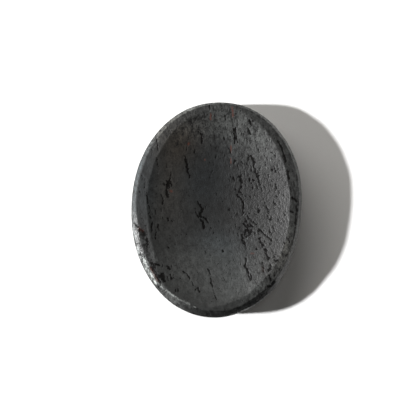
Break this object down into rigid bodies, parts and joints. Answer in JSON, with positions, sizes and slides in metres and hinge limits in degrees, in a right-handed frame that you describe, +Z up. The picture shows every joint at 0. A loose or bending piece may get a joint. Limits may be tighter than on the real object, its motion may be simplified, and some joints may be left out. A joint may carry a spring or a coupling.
{
  "type": "massage stone",
  "caption": "Oval hand-ground dark stone with a shallow polished thumb hollow, a narrow bevelled rim, a rounded edge and a flat base.",
  "frame": {"origin": "the middle of the stone's outline, on the plane of its flat base", "axes": "+Z up out of the thumb hollow, +Y along the stone's length, +X across its width"},
  "size_m": [0.0356, 0.045, 0.009],
  "materials": {
    "stone": "hand-ground near-black stone, satin in the hollow, coarser on the bevel and the edge, with open pits and fissures along its grain"
  },
  "bodies": {
    "root": {"stone_body": "stone"}
  },
  "joints": []
}
